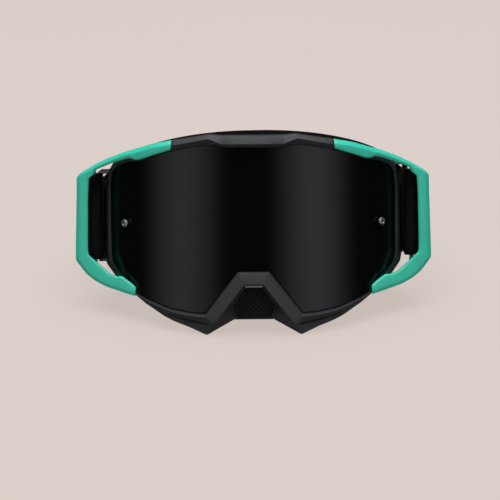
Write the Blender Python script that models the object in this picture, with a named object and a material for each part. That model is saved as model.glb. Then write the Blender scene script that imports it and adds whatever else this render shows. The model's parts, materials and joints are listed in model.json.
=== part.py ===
"""Motorcycle goggles with an elastic strap.

The object is modelled upright in millimetres, in its own frame: x to the right, y away
from the lens, z up, with the front of the lens at y = 0. A root empty then leans it back,
so that it stands on the two tips of the nose guard and on the rear of its strap.
"""

import math

import bmesh
import bpy
from mathutils import Matrix, Vector

MM = 0.001
GAP = 0.3
STEP = 8.0  # the longest straight stretch along a curved outline

LEAN = math.radians(14.85)
LENS_RADIUS = 98.0
LENS_THICKNESS = 1.0
BEZEL = 3.5  # the shells' ridge, in front of the lens
SEAT_GAP = 0.4  # between the shells and the frame's seat
WALL = 1.8
SHELL_EDGE = 1.2  # the shells' outer edge, in front of the lens's surface
UPPER_WALL, LOWER_WALL, END_WALL = 12.0, 9.0, 1.45  # how deep the shells' outer walls are
FACE_DEPTH = 26.0  # the frame's rear flange, behind the lens, at the centre
FACE_CURVE = 26.0  # how much further back it is at the sides
HALF_WIDTH = 75.0
TAPER = 0.13  # how fast the frame's lower wall rises towards the face

# Right halves of the outlines, as seen from the front, from the top centre clockwise.
FRAME_EDGE = [
    (0, 40.1), (17, 40.1), (21.1, 42.2), (41.7, 38.5), (50.7, 35.7), (58.2, 32.8),
    (65.3, 32.2), (72, 29.3), (74.3, 25.6), (75, 16), (75.2, -15.7), (74.1, -21.9),
    (70.1, -26.7), (61.6, -35.8), (54.3, -39.1), (43.1, -42.9), (31.4, -44.6),
    (25.1, -44.9), (8.3, -23), (0, -23),
]
LENS_TOP = FRAME_EDGE[:10]
LENS_BOTTOM = [
    (0, -23), (8.3, -23), (25.1, -44.9), (31.4, -44.6), (43.1, -42.9), (54.3, -39.1),
    (60.2, -36.4), (61, -32.4), (63.7, -30.7), (68.7, -27.2), (70.1, -26.4),
    (74.1, -21.9), (75, -15.7),
]
# Outer edge, ridge and lens edge of the upper shell.
UPPER_SHELL = [
    ((0, 46.2), (0, 42), (0, 40.5)),
    ((16.2, 46.2), (15.7, 42), (16.8, 40.5)),
    ((21.8, 46.8), (22.6, 44.7), (21.1, 42.6)),
    ((41.3, 43.5), (41.3, 41.2), (41.3, 39)),
]
# The same for the lower shell, from the top of the nose arch to its outer end.
LOWER_SHELL = [
    ((0, -29.2), (0, -25.4), (0, -23.4)),
    ((5.1, -29.2), (6.9, -25.4), (8, -23.4)),
    ((21.5, -50.4), (23.6, -47.6), (24.9, -45.4)),
    ((30.5, -50.4), (31.6, -47.2), (31.5, -45.1)),
    ((42.6, -48.3), (42.9, -45.6), (43.2, -43.4)),
    ((49, -45.8), (48.9, -43.6), (48.9, -41.4)),
    ((56, -41.4), (55.4, -40.4), (54.8, -39.4)),
    ((60.4, -38.4), (60.3, -37.8), (60.2, -37)),
]
# Outer edge and inner edge of an outrigger, from the brow down to the cheek.
OUTRIGGER = [
    ((41.6, 43.5), (42, 39)),
    ((50.6, 41.8), (50.6, 36.3)),
    ((58.5, 39.2), (59, 33.4)),
    ((64, 37.5), (61.5, 33.5)),
    ((66.5, 36.7), (63.5, 34.4)),
    ((74.6, 33.3), (72, 31.6)),
    ((82.9, 29.1), (81.7, 27.6)),
    ((91.1, 24.6), (83.2, 25.2)),
    ((92.6, 22.9), (86, 23)),
    ((92.9, 16), (86.6, 14)),
    ((94.1, -19.2), (87.2, -16.8)),
    ((93.7, -20.9), (84.9, -20.8)),
    ((88.4, -27.4), (79.4, -24.6)),
    ((83.4, -31), (75.4, -27)),
    ((77.6, -33.7), (71.5, -27.9)),
    ((70.5, -35.6), (68.8, -27.7)),
    ((67.1, -36.6), (63.7, -31.1)),
    ((61.7, -37.9), (61.5, -33)),
]
# A wing of the nose guard, as seen from the front: x, z, and the depth of the front face.
WING = [
    (47, -45.4, 9.5), (41.4, -49, 8), (25.4, -54.6, 3.2), (22.6, -54.6, 3.2),
    (10.6, -47.8, 8.4), (12.6, -41.9, 8.4), (5.1, -31.4, 8.4), (5.1, -28.6, -2.4),
    (22, -48.6, -0.5),
]
WING_REAR = 12.5
WING_REAR_TIP = ((26.5, -51.6), (21.5, -51.6))
WING_REAR_LOW = -52.2
WALL_END_X = 49.0  # the lower shell's outer wall is shallow beyond this
NOSE_MESH = [(4.7, -31.6), (12, -41.9), (10.2, -47), (9.2, -48.6)]
NOSE_MESH_FRONT = 8.8
NOSE_MESH_THICKNESS = 1.6
GROOVE_FROM, GROOVE_TO = (44.5, -46.6), (24.5, -51.3)

ARM_REAR = 46.0  # the rear edge of an outrigger's bar
ARM_WALL = 1.6
ARM_LIP = 3.0
POST_X, POST_Y, POST_RADIUS = 83.5, 42.6, 1.5
POST_BOTTOM, POST_TOP = -27.4, 26.4

STRAP_WIDTH = 45.0
STRAP_THICKNESS = 1.8
STRAP_CENTRE = 2.2
STRAP_FALL, STRAP_SLOPE = 0.03, 0.2079  # it sinks behind the loops, then climbs to the back
STRAP_BEND_Y, STRAP_BEND = 92.0, 24.0  # where the climb starts, and how gradually
ARC_Y, ARC_X, ARC_DEPTH = 76.0, 82.0, 114.0  # the half ellipse that the strap follows
LOOP_PLAY = 2.6  # room in the loop ahead of the post
LOOP_END, SIDE_END = 60.0, 130.0
SLIDER_Y, SLIDER_HALF = 92.0, 6.0
SLIDER_DEPTH, SLIDER_RISE = 4.0, 2.3  # half its depth, and how far it stands past the edges
SLIDER_SLOT, SLIDER_PLAY = 2.4, 0.8  # half the slot's depth, and its room past the edges
FOLD_LENGTH = 4.0  # from the post to where the fold starts to close
STITCH_HALF, STITCH_THICKNESS = 19.0, 0.6
GRIP_HEIGHTS = (("lower", -14), ("middle", 0), ("upper", 14))
GRIP_HALF, GRIP_THICKNESS = 1.2, 0.7

TEAR_OFF_X = 66.0
TEAR_OFF_HEAD, TEAR_OFF_SHANK = 2.1, 1.1

COLOURS = {
    "mint_plastic": ((0.047, 0.42, 0.30), 0.45, 0.0),
    "black_plastic": ((0.03, 0.031, 0.034), 0.5, 0.0),
    "frame_rubber": ((0.10, 0.10, 0.10), 0.6, 0.0),
    "mirror_lens": ((0.004, 0.004, 0.005), 0.06, 0.0),
    "post_metal": ((0.35, 0.35, 0.35), 0.35, 1.0),
    "nose_mesh": ((0.012, 0.013, 0.013), 0.8, 0.0),
    "foam_dark": ((0.02, 0.02, 0.021), 0.95, 0.0),
    "foam_grey": ((0.055, 0.055, 0.058), 0.95, 0.0),
    "fleece": ((0.008, 0.008, 0.008), 1.0, 0.0),
    "webbing": ((0.010, 0.011, 0.011), 0.85, 0.0),
    "silicone": ((0.035, 0.035, 0.036), 0.4, 0.0),
    "thread": ((0.05, 0.05, 0.052), 0.7, 0.0),
    "buckle_plastic": ((0.012, 0.012, 0.013), 0.4, 0.0),
}


def clear_scene():
    for obj in list(bpy.data.objects):
        bpy.data.objects.remove(obj)


def material(name):
    """The named material, made on its first use."""
    found = bpy.data.materials.get(name)
    if found:
        return found
    colour, roughness, metallic = COLOURS[name]
    made = bpy.data.materials.new(name)
    made.use_nodes = True
    shader = made.node_tree.nodes["Principled BSDF"]
    shader.inputs["Base Color"].default_value = (*colour, 1)
    shader.inputs["Roughness"].default_value = roughness
    shader.inputs["Metallic"].default_value = metallic
    made.diffuse_color = (*colour, 1)
    return made


# Surfaces that the pieces follow.


def lens_y(x):
    """How far back the front of the lens is at this x."""
    return LENS_RADIUS - math.sqrt(LENS_RADIUS**2 - x**2)


def seat_y(x):
    """The frame's seat, a gap behind the rear of the lens."""
    return LENS_RADIUS - math.sqrt((LENS_RADIUS - LENS_THICKNESS - GAP) ** 2 - x**2)


def face_y(x):
    """How far back the frame's rear flange is at this x."""
    return FACE_DEPTH + FACE_CURVE * (x / HALF_WIDTH) ** 2


def arm_front(x):
    """The front of an outrigger, which leaves the lens and runs straight outwards."""
    return min(lens_y(x) - 3, 8 + 0.52 * (x - 41.5))


def arm_rear(x, z):
    """The rear edge of an outrigger's outer wall, clear of the frame behind it."""
    if z < 0 and x < 68:
        return lens_y(x) + 1.2
    if x < 60:
        return lens_y(x) + 10
    if x < 78:
        return lens_y(x) + 4
    return ARM_REAR


def strap_point(angle):
    """A point of the strap's half ellipse, from 0 on the right to pi on the left."""
    return Vector((ARC_X * math.cos(angle), ARC_Y + ARC_DEPTH * math.sin(angle)))


# Mesh helpers.


def finish(mesh, name, material_name, parent, smooth=30):
    bmesh.ops.recalc_face_normals(mesh, faces=mesh.faces)
    data = bpy.data.meshes.new(name)
    mesh.to_mesh(data)
    mesh.free()
    obj = bpy.data.objects.new(name, data)
    bpy.context.scene.collection.objects.link(obj)
    obj.parent = parent
    if material_name:
        data.materials.append(material(material_name))
    data.shade_smooth()
    data.set_sharp_from_angle(angle=math.radians(smooth))
    return obj


def loft(name, sections, material_name, parent, ring=False, smooth=30):
    """A closed body through cross-sections of equal point counts, in millimetres."""
    mesh = bmesh.new()
    rows = [[mesh.verts.new(Vector(p) * MM) for p in section] for section in sections]
    pairs = list(zip(rows, rows[1:]))
    if ring:
        pairs.append((rows[-1], rows[0]))
    for first, second in pairs:
        for i, corner in enumerate(first):
            j = (i + 1) % len(first)
            mesh.faces.new((corner, first[j], second[j], second[i]))
    if not ring:
        mesh.faces.new(rows[0])
        mesh.faces.new(rows[-1])
    return finish(mesh, name, material_name, parent, smooth)


def turned(name, profile, place, material_name, parent, sides=20):
    """A closed body turned about its z axis, from (radius, height) points."""
    mesh = bmesh.new()
    rows = []
    for k in range(sides):
        turn = 2 * math.pi * k / sides
        rows.append([
            mesh.verts.new(Vector((r * math.cos(turn), r * math.sin(turn), h)) * MM)
            for r, h in profile
        ])
    for k, row in enumerate(rows):
        other = rows[(k + 1) % sides]
        for i in range(len(profile) - 1):
            mesh.faces.new((row[i], row[i + 1], other[i + 1], other[i]))
    if profile[0] == profile[-1]:
        bmesh.ops.remove_doubles(mesh, verts=mesh.verts, dist=1e-6)
    else:
        mesh.faces.new([row[0] for row in rows])
        mesh.faces.new([row[-1] for row in rows])
    bmesh.ops.transform(mesh, matrix=place, verts=mesh.verts)
    return finish(mesh, name, material_name, parent)


def prism(name, front, rear, material_name, parent):
    """A closed body between two outlines of equal point counts."""
    return loft(name, [front, rear], material_name, parent)


def boolean(obj, other, operation):
    """Keeps the other object as a hidden guide of this one's Boolean."""
    other.hide_render = True
    other.display_type = "WIRE"
    modifier = obj.modifiers.new(operation.lower(), "BOOLEAN")
    modifier.operation = operation
    modifier.object = other


def densified(rows):
    """Rows of outline points, with more between them where they are far apart."""
    result = []
    for row, after in zip(rows, rows[1:]):
        longest = max((Vector(b) - Vector(a)).length for a, b in zip(row, after))
        count = max(1, math.ceil(longest / STEP))
        for j in range(count):
            result.append([Vector(a).lerp(Vector(b), j / count) for a, b in zip(row, after)])
    return result + [[Vector(p) for p in rows[-1]]]


def mirrored(half):
    """Both sides of rows given for the right half, from the left end to the right end."""
    left = [[(-x, z) for x, z in row] for row in reversed(half[1:])]
    return left + list(half)


def outline_stations(half):
    """(point, mitre) pairs round the closed outline whose right half is given."""
    loop = [Vector(p) for p in half]
    loop += [Vector((-x, z)) for x, z in reversed(half) if x > 0]
    count = len(loop)
    normals = []
    for i, point in enumerate(loop):
        along = (loop[(i + 1) % count] - point).normalized()
        normals.append(Vector((-along.y, along.x)))
    mitres = []
    for i, normal in enumerate(normals):
        before = normals[i - 1]
        mitres.append((before + normal) / (1 + before.dot(normal)))
    result = []
    for i, point in enumerate(loop):
        k = (i + 1) % count
        pieces = max(1, math.ceil((loop[k] - point).length / STEP))
        for j in range(pieces):
            at = j / pieces
            result.append((point.lerp(loop[k], at), mitres[i].lerp(mitres[k], at)))
    return result


def ring_point(station, offset, surface, depth):
    """A point beside the outline, behind a surface; the lower wall rises with depth."""
    point, mitre = station
    x = point.x + mitre.x * offset
    z = point.y + mitre.y * offset
    y = surface(x) + depth
    behind = max(0, y - seat_y(x))
    return (x, y, z + TAPER * behind * max(0, -z) / 45)


def ring(name, profile, material_name, parent, smooth=30):
    """A closed ring along the frame's outline. The profile gives (offset, surface, depth)
    for a station."""
    sections = [
        [ring_point(station, *entry) for entry in profile(station)]
        for station in outline_stations(FRAME_EDGE)
    ]
    return loft(name, sections, material_name, parent, ring=True, smooth=smooth)


# The frame and what is fixed to it.


def flare(x):
    """How far the frame's wall stands outside the lens, more at the open sides."""
    share = min(1, max(0, (abs(x) - 62) / 8))
    return 2.2 + 2.2 * share * share * (3 - 2 * share)


def frame_profile(station):
    out = flare(station[0].x)
    return [
        (-4, seat_y, 0),
        (1.1, seat_y, 0),
        (out, seat_y, 7),
        (out, face_y, 0),
        (-6, face_y, 0),
        (-6, face_y, -WALL),
        (out - WALL, face_y, -WALL),
        (out - WALL, seat_y, 7.4),
        (-0.6, seat_y, WALL),
        (-4, seat_y, WALL),
    ]


def box_cutter(name, centre, size, turn, parent):
    mesh = bmesh.new()
    bmesh.ops.create_cube(mesh, size=1)
    shape = Matrix.Diagonal((*[s * MM for s in size], 1))
    place = Matrix.Translation(Vector(centre) * MM) @ Matrix.Rotation(turn, 4, "Y")
    bmesh.ops.transform(mesh, matrix=place @ shape, verts=mesh.verts)
    return finish(mesh, name, None, parent)


def inner_frame(parent):
    frame = ring("inner_frame", frame_profile, "frame_rubber", parent)
    for i, (x, z) in enumerate([(9, 42), (31, 42.6), (47, -43), (34, -45)]):
        for side in (-1, 1):
            depth = lens_y(x) + 15
            cutter = box_cutter(
                f"vent_cutter_{i}_{side}", (side * x, depth, z), (10, 6, 9), 0, parent
            )
            boolean(frame, cutter, "DIFFERENCE")
    return frame


def shell_sections(rows, depth_at):
    """Sections of a bezel with an outer wall, from rows of outer, ridge and lens edges."""
    sections = []
    for outer, ridge, inner in densified(mirrored(rows)):
        inward = (inner - outer).normalized() * WALL
        wall = outer + inward
        depth = depth_at(abs(outer.x))
        sections.append([
            (outer.x, lens_y(outer.x) - SHELL_EDGE, outer.y),
            (ridge.x, lens_y(ridge.x) - BEZEL, ridge.y),
            (inner.x, lens_y(inner.x) - 0.2, inner.y),
            (inner.x, seat_y(inner.x) - SEAT_GAP, inner.y),
            (wall.x, seat_y(wall.x) - SEAT_GAP, wall.y),
            (wall.x, lens_y(wall.x) + depth, wall.y),
            (outer.x, lens_y(outer.x) + depth, outer.y),
        ])
    return sections


def upper_shell(parent):
    sections = shell_sections(UPPER_SHELL, lambda x: UPPER_WALL)
    return loft("upper_shell", sections, "black_plastic", parent)


def wing(side, parent):
    front = [(side * x, y, z) for x, z, y in WING]
    rear = [(side * x, WING_REAR, max(z, WING_REAR_LOW)) for x, z, y in WING]
    rear[2:4] = [(side * x, WING_REAR, z) for x, z in WING_REAR_TIP]
    mesh = bmesh.new()
    f = [mesh.verts.new(Vector(p) * MM) for p in front]
    r = [mesh.verts.new(Vector(p) * MM) for p in rear]
    for corners in ((0, 1, 2, 8), (8, 2, 3), (8, 3, 4, 5), (8, 5, 6, 7)):
        mesh.faces.new([f[i] for i in corners])
    mesh.faces.new(r)
    for i, corner in enumerate(f):
        j = (i + 1) % len(f)
        mesh.faces.new((corner, f[j], r[j], r[i]))
    name = "wing_guide_right" if side > 0 else "wing_guide_left"
    return finish(mesh, name, None, parent)


def floor_height():
    """The height of the floor in the leaning direction, under the rear of the strap."""
    y, z = strap_place(0, ARC_Y + ARC_DEPTH + STRAP_THICKNESS / 2, -STRAP_WIDTH / 2)[1:]
    return z * math.cos(LEAN) - y * math.sin(LEAN)


def lower_shell(parent):
    def depth_at(x):
        return LOWER_WALL if x < WALL_END_X else END_WALL

    shell = loft("lower_shell", shell_sections(LOWER_SHELL, depth_at), "black_plastic", parent)
    for side in (-1, 1):
        boolean(shell, wing(side, parent), "UNION")
    start, end = Vector(GROOVE_FROM), Vector(GROOVE_TO)
    middle = (start + end) / 2
    along = end - start
    turn = math.atan2(along.y, -along.x)
    for side in (-1, 1):
        centre = (side * middle.x, lens_y(middle.x) - 1.5, middle.y)
        cutter = box_cutter(
            f"groove_cutter_{side}", centre, (along.length, 9, 1.3), side * turn, parent
        )
        boolean(shell, cutter, "DIFFERENCE")
    floor = box_cutter("floor_cutter", (0, 0, -100), (120, 120, 200), 0, parent)
    floor.matrix_local = Matrix.Rotation(LEAN, 4, "X") @ Matrix.Translation(
        (0, 0, floor_height() * MM)
    )
    boolean(shell, floor, "DIFFERENCE")
    return shell


def outrigger(side, name, parent):
    sections = []
    for outer, inner in densified(OUTRIGGER):
        across = (outer - inner).normalized()
        wide = (outer - inner).length
        ridge = outer - across * min(1.4, wide * 0.4)
        edge = inner + across * 0.6
        wall = outer - across * min(ARM_WALL, wide - 0.3)
        lip = min(seat_y(inner.x) - SEAT_GAP, arm_front(inner.x) + ARM_LIP)
        rear = max(arm_rear(*outer), lip + 0.2)
        points = [
            (outer, arm_front(outer.x) + 1.4),
            (ridge, arm_front(ridge.x)),
            (edge, arm_front(edge.x) + 0.3),
            (inner, arm_front(inner.x) + 1.2),
            (inner, lip),
            (wall, min(seat_y(wall.x) - SEAT_GAP, arm_front(wall.x) + ARM_LIP)),
            (wall, rear),
            (outer, rear),
        ]
        sections.append([(side * p.x, y, p.y) for p, y in points])
    return loft(name, sections, "mint_plastic", parent)


def strap_post(side, name, parent):
    place = Matrix.Translation(Vector((side * POST_X, POST_Y, 0)) * MM)
    profile = [(POST_RADIUS, POST_BOTTOM), (POST_RADIUS, POST_TOP)]
    return turned(name, profile, place, "mint_plastic", parent, sides=16)


def nose_mesh(parent):
    outline = NOSE_MESH + [(-x, z) for x, z in reversed(NOSE_MESH)]
    front = [(x, NOSE_MESH_FRONT, z) for x, z in outline]
    rear = [(x, NOSE_MESH_FRONT + NOSE_MESH_THICKNESS, z) for x, z in outline]
    return prism("nose_vent_mesh", front, rear, "nose_mesh", parent)


def foam_profile(front, rear, inner, outer):
    """Section of a foam layer behind the rear flange, with its outer corner eased."""
    def profile(station):
        return [
            (inner, face_y, front),
            (outer, face_y, front),
            (outer, face_y, rear - 1),
            (outer - 1, face_y, rear),
            (inner + 1, face_y, rear),
            (inner, face_y, rear - 1),
        ]

    return profile


def foams(parent):
    layers = [
        ("foam_base_layer", GAP, 6.5, "foam_dark", 2.0),
        ("foam_middle_layer", 6.5 + GAP, 13, "foam_grey", 2.0),
        ("foam_fleece_layer", 13 + GAP, 16, "fleece", 1.6),
    ]
    return [
        ring(name, foam_profile(front, rear, -6.5, outer), colour, parent, smooth=50)
        for name, front, rear, colour, outer in layers
    ]


def vent_foam(name, points, parent):
    """A strip of foam in the frame's channel, along the outline from x to x."""
    low, high, top = points
    stations = [s for s in outline_stations(FRAME_EDGE) if low <= s[0].x <= high]
    stations = sorted(
        (s for s in stations if (s[0].y > 0) == top), key=lambda s: s[0].x
    )
    sections = [
        [
            ring_point(s, offset, surface, depth)
            for offset, surface, depth in (
                (-2.4, seat_y, WALL + 6),
                (0.1, seat_y, WALL + 6),
                (0.1, face_y, -WALL - 0.5),
                (-2.4, face_y, -WALL - 0.5),
            )
        ]
        for s in stations
    ]
    return loft(name, sections, "foam_dark", parent)


# The lens and its tear-off posts.


def strip_height(points, x):
    """The height of an outline given by x, at this x."""
    x = abs(x)
    for (x0, z0), (x1, z1) in zip(points, points[1:]):
        if x0 <= x <= x1:
            return z0 + (z1 - z0) * (x - x0) / (x1 - x0)
    return points[-1][1]


def lens(parent):
    edges = {x for x, z in LENS_TOP + LENS_BOTTOM}
    edges |= {5.0 * k for k in range(16)}
    columns = []
    for x in sorted(edges):
        if not columns or x - columns[-1] > 0.6:
            columns.append(x)
    columns = [-x for x in reversed(columns[1:])] + columns
    sections = []
    for x in columns:
        share = (LENS_RADIUS - LENS_THICKNESS) / LENS_RADIUS
        y = lens_y(x)
        back = (x * share, LENS_RADIUS - (LENS_RADIUS - y) * share)
        low, high = strip_height(LENS_BOTTOM, x), strip_height(LENS_TOP, x)
        sections.append([
            (x, y, low), (x, y, high), (back[0], back[1], high), (back[0], back[1], low)
        ])
    body = loft("lens", sections, "mirror_lens", parent)
    for side in (-1, 1):
        hole = turned(
            f"lens_hole_cutter_{side}",
            [(TEAR_OFF_SHANK + GAP, -4), (TEAR_OFF_SHANK + GAP, 4)],
            tear_off_place(side),
            None,
            parent,
            sides=16,
        )
        boolean(body, hole, "DIFFERENCE")
    return body


def tear_off_place(side):
    """Turns z to point out of the lens, at a tear-off post's foot on its front."""
    turn = math.asin(TEAR_OFF_X / LENS_RADIUS)
    place = Matrix.Translation(Vector((side * TEAR_OFF_X, lens_y(TEAR_OFF_X), 0)) * MM)
    return place @ Matrix.Rotation(side * turn, 4, "Z") @ Matrix.Rotation(math.pi / 2, 4, "X")


def tear_off_post(side, name, parent):
    profile = [
        (TEAR_OFF_SHANK, -3.2),
        (TEAR_OFF_SHANK, 1.0),
        (TEAR_OFF_HEAD, 1.0),
        (TEAR_OFF_HEAD, 2.0),
        (TEAR_OFF_HEAD - 0.4, 2.4),
    ]
    return turned(name, profile, tear_off_place(side), "post_metal", parent)


def tear_off_washer(side, name, parent):
    inner, outer = TEAR_OFF_SHANK + GAP, 2.5
    top = -LENS_THICKNESS - GAP
    profile = [(inner, top), (inner, top - 0.8), (outer, top - 0.8), (outer, top), (inner, top)]
    return turned(name, profile, tear_off_place(side), "silicone", parent)


# The strap, which climbs towards the back and stays upright across its width.


def strap_climb(y):
    """How far the strap has climbed at y, with a smooth start."""
    share = (y - STRAP_BEND_Y) / STRAP_BEND + 0.5
    if share <= 0:
        return 0.0
    if share < 1:
        return STRAP_SLOPE * STRAP_BEND * share * share / 2
    return STRAP_SLOPE * (y - STRAP_BEND_Y)


def strap_place(x, y, z):
    """A point of the strap, from its height above the strap's centreline."""
    return (x, y, STRAP_CENTRE - (y - POST_Y) * STRAP_FALL + strap_climb(y) + z)


def band(name, path, thickness, low, high, material_name, parent, shift=0.0):
    """An upright band along a path of (x, y) points, shifted to the inside."""
    sections = []
    for i, point in enumerate(path):
        before, after = path[max(0, i - 1)], path[min(len(path) - 1, i + 1)]
        along = (after - before).normalized()
        inward = Vector((-along.y, along.x))
        middle = point + inward * shift
        a = middle - inward * thickness / 2
        b = middle + inward * thickness / 2
        sections.append([
            strap_place(a.x, a.y, low),
            strap_place(a.x, a.y, high),
            strap_place(b.x, b.y, high),
            strap_place(b.x, b.y, low),
        ])
    return loft(name, sections, material_name, parent)


def side_path(start, end):
    """The strap's centreline on the right, from y to y."""
    points = []
    count = 12
    for k in range(count + 1):
        y = start + (end - start) * k / count
        if y < ARC_Y:
            share = (y - POST_Y) / (ARC_Y - POST_Y)
            points.append(Vector((POST_X + (ARC_X - POST_X) * share, y)))
        else:
            points.append(strap_point(math.asin((y - ARC_Y) / ARC_DEPTH)))
    return points


def mirrored_path(path, side):
    return path if side > 0 else [Vector((-p.x, p.y)) for p in reversed(path)]


def loop_side():
    """The flat outer side of the fold on the right, from the post to the fold's end."""
    start = Vector((POST_X + POST_RADIUS + GAP + STRAP_THICKNESS, POST_Y + FOLD_LENGTH))
    tail = side_path(LOOP_END, LOOP_END + 1)[0]
    return start, Vector((tail.x + STRAP_THICKNESS, LOOP_END))


def strap_loop(side, name, parent):
    """The webbing folded round the post and sewn to itself behind it."""
    clear = POST_RADIUS + GAP
    half = STRAP_THICKNESS + clear
    turns = 12
    outer, inner = [], []
    front = POST_Y - LOOP_PLAY
    for k in range(turns + 1):
        turn = math.pi * k / turns
        out = Vector((math.cos(turn), -math.sin(turn)))
        outer.append(Vector((POST_X, front)) + out * half)
        inner.append(Vector((POST_X, front)) + out * clear)
    meet = POST_Y + 2 * FOLD_LENGTH
    side_start, side_end = loop_side()
    outer = [side_end, side_start] + outer
    outer += [
        Vector((POST_X - half, side_start.y)),
        Vector((side_end.x - 2 * STRAP_THICKNESS, LOOP_END)),
    ]
    inner = [Vector((POST_X, meet)), Vector((POST_X + clear, meet - FOLD_LENGTH))] + inner
    inner += [Vector((POST_X - clear, meet - FOLD_LENGTH)), Vector((POST_X - 0.02, meet))]
    sections = []
    low, high = -STRAP_WIDTH / 2, STRAP_WIDTH / 2
    for a, b in zip(outer, inner):
        sections.append([
            strap_place(side * a.x, a.y, low),
            strap_place(side * a.x, a.y, high),
            strap_place(side * b.x, b.y, high),
            strap_place(side * b.x, b.y, low),
        ])
    return loft_loop(name, sections, parent)


def loft_loop(name, sections, parent):
    """Closes a folded band whose two inner ends meet at one line."""
    mesh = bmesh.new()
    rows = [[mesh.verts.new(Vector(p) * MM) for p in section] for section in sections]
    for first, second in zip(rows, rows[1:]):
        for i, corner in enumerate(first):
            j = (i + 1) % 4
            mesh.faces.new((corner, first[j], second[j], second[i]))
    start, end = rows[0], rows[-1]
    mesh.faces.new((start[0], start[1], end[1], end[0]))
    mesh.faces.new((start[1], start[2], end[2], end[1]))
    mesh.faces.new((start[3], start[0], end[0], end[3]))
    bmesh.ops.remove_doubles(mesh, verts=[start[2], end[2]], dist=1e-4)
    bmesh.ops.remove_doubles(mesh, verts=[start[3], end[3]], dist=1e-4)
    return finish(mesh, name, "webbing", parent)


def strap_stitch(side, name, parent):
    """The bar tack that sews the fold, on the outside of the webbing."""
    start, end = loop_side()
    out = Vector((end.y - start.y, start.x - end.x)).normalized()
    lift = out * (GAP + STITCH_THICKNESS / 2 + 0.05)
    path = [start.lerp(end, share) + lift for share in (0.62, 0.92)]
    return band(
        name, mirrored_path(path, side), STITCH_THICKNESS,
        -STITCH_HALF, STITCH_HALF, "thread", parent,
    )


def strap_side(side, name, parent):
    path = side_path(LOOP_END + GAP, SIDE_END)
    return band(
        name, mirrored_path(path, side), STRAP_THICKNESS,
        -STRAP_WIDTH / 2, STRAP_WIDTH / 2, "webbing", parent,
    )


def rear_path():
    start = math.asin((SIDE_END + GAP - ARC_Y) / ARC_DEPTH)
    count = 28
    return [strap_point(start + (math.pi - 2 * start) * k / count) for k in range(count + 1)]


def strap_rear(parent):
    return band(
        "strap_rear", rear_path(), STRAP_THICKNESS,
        -STRAP_WIDTH / 2, STRAP_WIDTH / 2, "webbing", parent,
    )


def grip_strips(parent):
    made = []
    for name, height in GRIP_HEIGHTS:
        made.append(
            band(
                f"strap_grip_{name}", rear_path()[2:-2], GRIP_THICKNESS,
                height - GRIP_HALF, height + GRIP_HALF, "silicone", parent, shift=1.6,
            )
        )
    return made


def strap_slider(side, name, parent):
    """A flat frame that the webbing runs through, set along the strap."""
    turn = math.asin((SLIDER_Y - ARC_Y) / ARC_DEPTH)
    middle = strap_point(turn)
    along = Vector((-ARC_X * math.sin(turn), ARC_DEPTH * math.cos(turn))).normalized()
    out = Vector((along.y, -along.x))
    sections = []
    for sx, sz in ((1, 1), (1, -1), (-1, -1), (-1, 1)):
        outer = (sx * SLIDER_DEPTH, sz * (STRAP_WIDTH / 2 + SLIDER_RISE))
        inner = (sx * SLIDER_SLOT, sz * (STRAP_WIDTH / 2 + SLIDER_PLAY))
        section = []
        for (depth, height), end in ((outer, -1), (outer, 1), (inner, 1), (inner, -1)):
            place = middle + out * depth + along * (end * SLIDER_HALF)
            section.append(strap_place(side * place.x, place.y, height))
        sections.append(section)
    return loft(name, sections, "buckle_plastic", parent, ring=True)


def empty(name, parent=None):
    obj = bpy.data.objects.new(name, None)
    bpy.context.scene.collection.objects.link(obj)
    obj.parent = parent
    return obj


def stand_on_floor(root):
    """Leans the object back, and puts the middle of its base on the world's origin."""
    root.rotation_euler = (-LEAN, 0, 0)
    bpy.context.view_layer.update()
    graph = bpy.context.evaluated_depsgraph_get()
    points = []
    for obj in bpy.data.objects:
        if obj.type == "MESH" and not obj.hide_render:
            shape = obj.evaluated_get(graph)
            points += [shape.matrix_world @ v.co for v in shape.data.vertices]
    low = [min(p[i] for p in points) for i in range(3)]
    high = [max(p[i] for p in points) for i in range(3)]
    root.location = (-(low[0] + high[0]) / 2, -(low[1] + high[1]) / 2, -low[2])


def main():
    clear_scene()
    root = empty("goggles")
    upper_shell(root)
    lower_shell(root)
    inner_frame(root)
    nose_mesh(root)
    foams(root)
    vent_foam("vent_foam_top", (-50, 50, True), root)
    vent_foam("vent_foam_bottom_left", (-56, -28, False), root)
    vent_foam("vent_foam_bottom_right", (28, 56, False), root)
    lens(root)
    for side, word in ((-1, "left"), (1, "right")):
        outrigger(side, f"outrigger_{word}", root)
        strap_post(side, f"strap_post_{word}", root)
        tear_off_post(side, f"tear_off_post_{word}", root)
        tear_off_washer(side, f"tear_off_washer_{word}", root)
        strap_loop(side, f"strap_loop_{word}", root)
        strap_stitch(side, f"strap_stitch_{word}", root)
        strap_side(side, f"strap_side_{word}", root)
        strap_slider(side, f"strap_slider_{word}", root)
    strap_rear(root)
    grip_strips(root)
    stand_on_floor(root)


main()
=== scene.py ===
"""The looks of the goggles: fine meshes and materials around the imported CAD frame.

Shapes are made upright in millimetres, in the goggles' own frame (x right, y away from
the lens, z up, the front of the lens at y = 0), and PLACE leans them back as the CAD is.
"""

import json
import math

import bmesh
import bpy
from mathutils import Matrix, Quaternion, Vector, noise


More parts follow.
